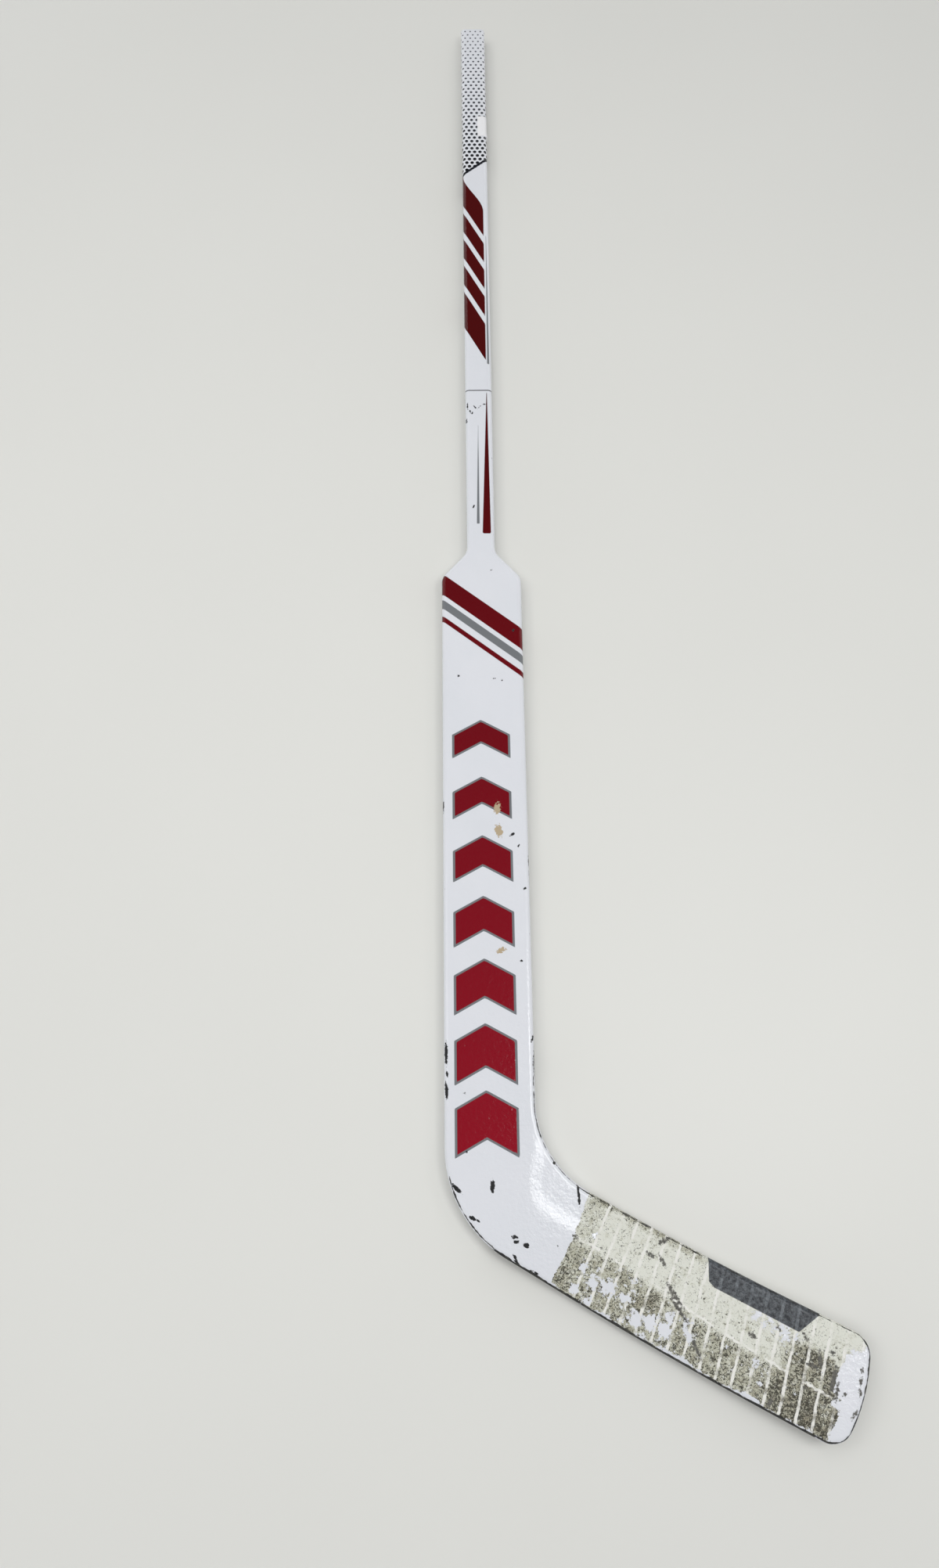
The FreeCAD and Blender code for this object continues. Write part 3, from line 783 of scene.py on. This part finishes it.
film = {
    "pale": "#d9dad0", "olive": "#b5b4a2", "brown": "#8f8a78", "pepper": "#36342b", "ridge": "#e5e4de",
    "rough": 0.72, "lift": 0.06, "relief": 0.08, "backStrength": 0.8,
    "speck": blotches(2.4, 4, 0.7, 1.4),        # specks swirl like threads of cloth
    "blotch": blotches(4.5, 5, 0.65), "cluster": blotches(11),
    "flake": 2.4, "ripple": {"Scale": 0.7},     # flakes, with outlines that waver so often per millimetre
    "fray": (11.0, 3.4, 3.0), "cover": (8.9, 9.5),          # how far blotch, flake and speck shift its edge
    "soilBlotch": 1.8, "soilSpeck": 1.2,
    "oliveSpan": (1.6, 2.15), "brownSpan": (2.15, 2.65), "cleanFlakes": (0.76, 0.82, 0.0, 0.6),
    "speckSoil": 0.15, "speckCluster": 0.16, "speckSpan": (0.665, 0.755, 0.0, 0.95),
    "gapStart": 101.3, "gapPitch": 14.45,       # pale lines where the turns of tape met
    "gapLean": ((100.0, 0.065), (240.0, 0.205)),            # they lean more and more along the blade
    "gapHalf": 1.25, "gapBlur": 0.3, "gapRagged": 2.6, "gapWander": 3.0, "gapWave": blotches(22, 2),
    "gapFaint": (0.38, 0.54, 0.2, 1.0), "gapLead": (-7.0, -5.0),  # fainter in places, none before the first
    "ridgeHalf": (1.2, 0.7), "ridgeWander": 7.0, "ridgeRough": 0.5,
    "ridgeBreak": blotches(16, 2), "ridgeSpan": (0.45, 0.53),
}


def tapeGaps(add, place, middle, patchy):  # 1 on the pale lines, which lean and are evenly spaced
    turned = add("Mapping", {"Vector": place, "Rotation": (0, 0, -math.radians(stick["bladeAngle"]))})
    along, across = (add("SeparateXYZ", turned, out=axis) for axis in "XY")
    (first, firstLean), (last, lastLean) = film["gapLean"]
    lean = add("MapRange", along, first, last, firstLean, lastLean)
    lean = add("Math", across, lean, along, operation="MULTIPLY_ADD")
    wave = add("TexNoise", {"Vector": place, **film["gapWave"]})
    lean = add("Math", wave, film["gapWander"], lean, operation="MULTIPLY_ADD")
    start, pitch = film["gapStart"] + film["gapWander"] / 2, film["gapPitch"]
    turns = add("Math", lean, 1 / pitch, 0.5 - start / pitch, operation="MULTIPLY_ADD")
    aside = add("Math", add("Math", turns, operation="FRACT"), 0.5, operation="SUBTRACT")
    away = add("Math", add("Math", aside, operation="ABSOLUTE"), pitch, operation="MULTIPLY")
    away = add("Math", middle, film["gapRagged"], away, operation="MULTIPLY_ADD")       # ragged sides
    half = film["gapHalf"] + film["gapRagged"] / 2
    line = add("MapRange", away, half + film["gapBlur"], half - film["gapBlur"])
    line = add("Math", line, add("MapRange", patchy, *film["gapFaint"]), operation="MULTIPLY")
    begun = add("MapRange", along, *(start + lead for lead in film["gapLead"]))
    return add("Math", line, begun, operation="MULTIPLY")


def creaseRidge(add, place, look, middle, held):  # a pale, broken ridge of glue where the turns overlapped
    crease = add("Attribute", out="Fac", attribute_name="crease")
    crease = add("Math", crease, film["ridgeWander"] / 2, operation="SUBTRACT")
    away = add("Math", middle, film["ridgeWander"], crease, operation="MULTIPLY_ADD")
    ridge = add("MapRange", add("Math", away, operation="ABSOLUTE"), *film["ridgeHalf"])
    breaks = add("TexNoise", {"Vector": place, **film["ridgeBreak"]})
    ridge = add("Math", ridge, add("MapRange", breaks, *film["ridgeSpan"]), operation="MULTIPLY")
    ridge = add("Math", ridge, add("MapRange", held), operation="MULTIPLY")
    layOver(add, look, ridge, film["ridge"], film["ridgeRough"])


def glueFilm(add, place, look, strength):  # old tape glue: dull, flaked, with pale lines and dark specks
    fine, middle, patchy = (add("TexNoise", {"Vector": place, **film[key]})
                            for key in ("speck", "blotch", "cluster"))
    ripple = add("TexNoise", {"Vector": place, **film["ripple"]}, out="Color")
    ripple = add("VectorMath", ripple, place)
    flake = add("TexVoronoi", {"Vector": ripple, "Scale": 1 / film["flake"]}, out="Color")
    held, dirt = (add("Attribute", out="Fac", attribute_name=name) for name in ("film", "soil"))
    frayed = held
    for pattern, shift in zip((middle, flake, fine), film["fray"]):
        frayed = add("Math", pattern, shift, frayed, operation="MULTIPLY_ADD")
    cover = add("MapRange", frayed, *film["cover"], 0.0, strength)
    gaps = tapeGaps(add, place, middle, patchy)
    soil = add("Math", middle, film["soilBlotch"], dirt, operation="MULTIPLY_ADD")
    soil = add("Math", fine, film["soilSpeck"], soil, operation="MULTIPLY_ADD")
    speck = add("Math", dirt, film["speckSoil"], fine, operation="MULTIPLY_ADD")        # more in dirt
    speck = add("Math", patchy, film["speckCluster"], speck, operation="MULTIPLY_ADD")  # and in clusters
    coats = (
        ("olive", add("MapRange", soil, *film["oliveSpan"])),
        ("brown", add("MapRange", soil, *film["brownSpan"])),
        ("pale", add("MapRange", flake, *film["cleanFlakes"])),
        ("pepper", add("MapRange", speck, *film["speckSpan"])),
        ("ridge", gaps),
    )
    colour = film["pale"]
    for tone, share in coats:     # each over those before it
        colour = add("Mix", {0: share, 6: colour, 7: film[tone]}, **colourMix)
    layOver(add, look, cover, colour, film["rough"], film["lift"])
    relief = add("Math", fine, cover, operation="MULTIPLY")
    look["height"] = add("Math", relief, film["relief"], look["height"], operation="MULTIPLY_ADD")
    creaseRidge(add, place, look, middle, held)
    return gaps


slate = {
    "dark": "#151920", "dull": "#70767b", "rough": 0.38, "lift": 0.02,
    "mottle": blotches(3.2, 5, 0.75), "mottleSpan": (0.4, 0.72, 0.0, 0.8), "streak": 0.35,
}


def slatePatch(add, place, look, gaps):  # print under the clear coat, dulled by mottles and streaks of glue
    dull = add("TexNoise", {"Vector": place, **slate["mottle"]})
    dull = add("MapRange", dull, *slate["mottleSpan"])
    dull = add("Math", gaps, slate["streak"], dull, operation="MULTIPLY_ADD")
    dull = add("Math", dull, 1.0, operation="MINIMUM")
    colour = add("Mix", {0: dull, 6: slate["dark"], 7: slate["dull"]}, **colourMix)
    layOver(add, look, within(add, "patch"), colour, slate["rough"], slate["lift"])


damage = {
    "filler": (0.2, 8.0, 0.6, -0.1),        # blur and raggedness of the outline, roughness and lift
    "scratch": (0.5, 5.0, 0.6, -0.05),
    "chip": (0.2, 2.6, 0.55, -0.12),
    "rimWearAndShade": (0.25, 4.6, 0.6, -0.08),
    "bare": "#131315", "dusty": "#4c4c43", "smear": "#7f7d75", "putty": "#b3a184",
    "fray": blotches(2.2), "rimFray": blotches(9, 4),
    "dust": blotches(6), "dustSpan": (0.45, 0.7),
}


def damaged(add, look, kind, noise, colour):  # one kind of damage, down to dark laminate or tan filler
    blur, ragged, rough, lift = damage[kind]
    layOver(add, look, within(add, kind, blur, ragged, noise), colour, rough, lift)


def wornAndShadedRim(add, place, look):  # edges rubbed through to dark laminate, in broken lines, with painted shade of the rounded edges in the same dark lines
    fray, dust = (add("TexNoise", {"Vector": place, **damage[key]}) for key in ("rimFray", "dust"))
    dust = add("MapRange", dust, *damage["dustSpan"])
    dusty = add("Mix", {0: dust, 6: damage["bare"], 7: damage["dusty"]}, **colourMix)
    damaged(add, look, "rimWearAndShade", fray, dusty)


def skinLacquer(name, front):  # painted laminate after long play: gloss white under dull, dark wear, and painted shade along the edges
    material, add, place = newMaterial(name)
    look = lacquerGround(add, place)
    fray = add("TexNoise", {"Vector": place, **damage["fray"]})
    if front:
        printed(add, place, look)
        damaged(add, look, "filler", fray, damage["putty"])
    gaps = glueFilm(add, place, look, 1.0 if front else film["backStrength"])
    if front:
        slatePatch(add, place, look, gaps)
        smear = add("Mix", {0: fray, 6: damage["smear"], 7: damage["bare"]}, **colourMix)
        damaged(add, look, "scratch", fray, smear)
        damaged(add, look, "chip", fray, damage["bare"])
    wornAndShadedRim(add, place, look)
    closeLook(add, look)
    return material


dots = {
    "pitch": 6.4,                              # of a staggered grid
    "radius": (1.05, 2.2), "span": (1385.0, 1160.0), "blur": 0.25,
    "pale": "#676a71", "dark": "#07090d", "rough": 0.24,
    "line": "#0d111a", "lineRough": 0.22,
}


def shaftLacquer(name):  # white lacquer with a field of printed dots that grow down from the butt end
    material, add, place = newMaterial(name)
    look = lacquerGround(add, place)
    up = add("SeparateXYZ", place, out="Y")
    girth = add("Attribute", out="Fac", attribute_name="girth")
    unrolled = add("CombineXYZ", girth, up)
    cell = np.array((dots["pitch"], dots["pitch"] * math.sqrt(3), 0.0))
    away = []
    for shift in (0.0, 0.5):          # two lattices, half a cell apart, make a staggered one
        size = (1 / cell[0], 1 / cell[1], 0)
        local = add("Mapping", {"Vector": unrolled, "Location": (shift, shift, 0), "Scale": size})
        local = add("VectorMath", local, operation="FRACTION")
        local = add("VectorMath", local, cell, -cell / 2, operation="MULTIPLY_ADD")
        away.append(add("VectorMath", local, out="Value", operation="LENGTH"))
    nearest = add("Math", *away, operation="MINIMUM")
    grow = add("MapRange", up, *dots["span"])
    radius = add("MapRange", grow, 0.0, 1.0, *dots["radius"])
    dot = add("Math", radius, nearest, operation="SUBTRACT")
    dot = add("MapRange", dot, -dots["blur"], dots["blur"])
    dot = add("Math", dot, within(add, "dots"), operation="MULTIPLY")
    ink = add("Mix", {0: grow, 6: dots["pale"], 7: dots["dark"]}, **colourMix)
    layOver(add, look, dot, ink, dots["rough"])
    layOver(add, look, within(add, "line"), dots["line"], dots["lineRough"])
    printed(add, place, look)
    closeLook(add, look)
    return material


def followRelief(add, relief, tones, rough, height, span=(0.0, 1.0)):  # tone and gloss follow the relief
    closeLook(add, {
        "colour": add("Mix", {0: relief, 6: tones[0], 7: tones[1]}, **colourMix),
        "rough": add("MapRange", relief, *span, *rough),
        "height": add("Math", relief, height, operation="MULTIPLY"),
    })


def evenLook(name, noise, *finish):  # one plain substance with a faint relief
    material, add, place = newMaterial(name)
    followRelief(add, add("TexNoise", {"Vector": place, **noise}), *finish, span=noiseSpan)
    return material


# the first tone lies in the pores' pits and is painted shade
foam = {"pore": 1.2, "tones": ("#d8c998", "#efe4bd"), "rough": (0.95, 0.8), "relief": 0.5}


def rigidFoam(name):  # cut closed-cell foam: pale yellow, matt, with open pores about a millimetre wide, darker and lower in their middles: painted shade in the pores
    material, add, place = newMaterial(name)
    pore = add("TexVoronoi", {"Vector": place, "Scale": 1 / foam["pore"]})
    followRelief(add, pore, foam["tones"], foam["rough"], foam["relief"])
    return material


laminate = {"tow": 2.5, "tones": ("#17181a", "#2a2b2e"), "rough": (0.32, 0.5), "relief": 0.05}


def fibreLaminate(name):  # moulded carbon laminate: near black, with a square weave of tows
    material, add, place = newMaterial(name)
    weave = add("TexChecker", {"Vector": place, "Scale": 1 / laminate["tow"]}, out="Fac")
    followRelief(add, weave, laminate["tones"], laminate["rough"], laminate["relief"])
    return material


# A satin, even white, then a dull and lumpy black, then a chalky white with faint fibre.
mouldedPlastic = evenLook("mouldedWhiteAbs", blotches(0.6), ("#dfe1e5", "#d3d6db"), (0.36, 0.5), 0.02)
curedGlue = evenLook("curedBlackEpoxy", blotches(2.5), ("#0c0c0e", "#26272b"), (0.45, 0.7), 0.2)
labelPaper = evenLook("coatedLabelPaper", blotches(0.8, 4), ("#f1f1f2", "#e4e4e6"), (0.5, 0.68), 0.03)
backLacquer = skinLacquer("sprayedLacquerBack", False)
pieceLooks = {
    frontSkin: skinLacquer("printedLacquerFront", True), backSkin: backLacquer,
    tube: shaftLacquer("printedLacquerShaft"), endPlug: mouldedPlastic,
    glueLine: curedGlue, paper: labelPaper,
}
for piece, material in pieceLooks.items():
    piece.data.materials.append(material)

slotLooks = {
    "foam": rigidFoam("cutRigidFoam"), "laminate": fibreLaminate("mouldedCarbonLaminate"),
    "white_lacquer": backLacquer, "white_plastic": mouldedPlastic,
    "black_glue": curedGlue, "sticker_paper": labelPaper,
}
for part in frame["record"]["subparts"]:
    node = frame["nodes"][part["node"]]
    node.data.materials.clear()
    node.data.materials.append(slotLooks[part["material_slot"]])
print("materials", len(bpy.data.materials))


# Floor, light and camera

floor = {
    "half": 40.0, "drop": 0.0004,                       # metres
    "colour": "#e1e1dc", "shade": "#dcdcd7", "cloud": blotches(500, 2), "rough": 0.5,
    "middle": (100.0, 600.0, 0.0), "fade": (950.0, 2800.0),   # away from here it turns into the backdrop
    "backdrop": "#dfe0e0",
}


def makeFloor():  # a table top that fades into an even backdrop
    mesh = bpy.data.meshes.new("floor")
    half, low = floor["half"], -floor["drop"]
    corners = [(-half, -half, low), (half, -half, low), (half, half, low), (-half, half, low)]
    mesh.from_pydata(corners, [], [(0, 1, 2, 3)])
    board = bpy.data.objects.new("floor", mesh)
    bpy.context.scene.collection.objects.link(board)
    material, add, place = newMaterial("paleTableTop")          # smooth laminate board, almost even
    cloud = add("TexNoise", {"Vector": place, **floor["cloud"]})
    colour = add("Mix", {0: cloud, 6: floor["colour"], 7: floor["shade"]}, **colourMix)
    surface = add("BsdfPrincipled", {"Base Color": colour, "Roughness": floor["rough"]})
    far = add("VectorMath", place, floor["middle"], out="Value", operation="DISTANCE")
    seen = 0.0
    for ray in ("Is Camera Ray", "Is Glossy Ray", "Is Transmission Ray"):   # the backdrop lights nothing
        seen = add("Math", add("LightPath", out=ray), seen, operation="MAXIMUM")
    share = add("Math", add("MapRange", far, *floor["fade"]), seen, operation="MULTIPLY")
    glow = add("Emission", {"Color": floor["backdrop"]})
    add("OutputMaterial", {"Surface": add("MixShader", share, surface, glow)})
    mesh.materials.append(material)


lamps = {   # place and what it points at, width and length in metres, watts, and whether gloss mirrors it
    "ceilingPanel": ((-0.75, 0.5, 2.7), (-0.75, 0.5, 0.0), (2.6, 4.0), 43.0, False),
    "leftSoftLamp": ((-2.85, 0.85, 3.45), (0.0, 0.7, 0.0), (1.2, 1.2), 13.0, True),
    "rightSoftLamp": ((3.3, 0.85, 3.6), (0.0, 0.7, 0.0), (1.2, 1.2), 13.0, True),
    "farLeftLamp": ((-2.4, 4.2, 3.2), (0.0, 0.7, 0.0), (0.3, 3.0), 10.0, True),
    "farRightLamp": ((2.4, 4.2, 3.2), (0.0, 0.7, 0.0), (0.3, 3.0), 10.0, True),
    "heelLamp": ((0.83, 0.18, 2.1), (0.05, 0.0, 0.0), (0.78, 0.78), 11.0, True),
}


def aim(place, right, up, back):  # a matrix from a place and three directions
    turn = np.eye(4)
    turn[:3] = np.stack((right, up, back, place), -1)
    return Matrix(turn.tolist())


def makeLamps():  # oval lamps, each turned to face its target
    for name, (place, target, size, watts, mirrored) in lamps.items():
        lamp = bpy.data.lights.new(name, "AREA")
        lamp.shape = "ELLIPSE"
        lamp.size, lamp.size_y = size
        lamp.energy = watts
        stand = bpy.data.objects.new(name, lamp)
        stand.visible_glossy = mirrored
        back = np.subtract(place, target) / math.dist(place, target)
        side = np.cross((0, 1, 0), back)
        side /= np.linalg.norm(side)
        stand.matrix_world = aim(place, side, np.cross(back, side), back)
        bpy.context.scene.collection.objects.link(stand)


world = {
    "colour": "#f7f8fa", "walls": 0.8, "ceiling": 0.12,         # how strongly walls and ceiling shine
    "ceilingHalf": (0.4, 1.2), "ceilingRise": (0.3, 0.55),      # the ceiling's soft edges, sideways and up
}


def makeRoom():  # a dim strip of ceiling between pale walls
    room = bpy.data.worlds.new("softRoom")
    room.use_nodes = True
    room.node_tree.nodes.clear()
    add = partial(addNode, room.node_tree)
    toward = add("TexCoord", out="Generated")
    aside, rise = (add("SeparateXYZ", toward, out=axis) for axis in "XZ")
    aside = add("Math", aside, operation="ABSOLUTE")
    dim = add("MapRange", aside, *world["ceilingHalf"], 1.0, 0.0)
    dim = add("Math", dim, add("MapRange", rise, *world["ceilingRise"]), operation="MULTIPLY")
    strength = add("MapRange", dim, 0.0, 1.0, world["walls"], world["ceiling"])
    sky = add("Background", {"Color": world["colour"], "Strength": strength})
    add("OutputWorld", {"Surface": sky})
    bpy.context.scene.world = room


view = {
    "place": (-28.8, 14.0, 1129.5), "yaw": 2.12, "down": 71.62, "roll": 1.56,   # millimetres and degrees
    "focal": 1506.7, "imageHeight": 2004, "sensor": 36.0,                       # pixels and millimetres
}


def makeCamera():  # the photograph's view, from its place and three angles
    yaw, down, roll = (math.radians(view[key]) for key in ("yaw", "down", "roll"))
    ahead = np.array((math.sin(yaw) * math.cos(down), math.cos(yaw) * math.cos(down), -math.sin(down)))
    level = np.array((math.cos(yaw), -math.sin(yaw), 0.0))
    upright = np.cross(level, ahead)
    right = level * math.cos(roll) + upright * math.sin(roll)
    up = upright * math.cos(roll) - level * math.sin(roll)
    lens = bpy.data.cameras.new("photoCamera")
    lens.sensor_width = view["sensor"]
    lens.lens = view["focal"] / view["imageHeight"] * view["sensor"]
    camera = bpy.data.objects.new("photoCamera", lens)
    camera.matrix_world = aim(np.array(view["place"]) * mm, right, up, -ahead)
    bpy.context.scene.collection.objects.link(camera)
    bpy.context.scene.camera = camera


makeFloor()
makeLamps()
makeRoom()
makeCamera()
bpy.context.scene.view_settings.view_transform = "Standard"
print("stage, light and camera")
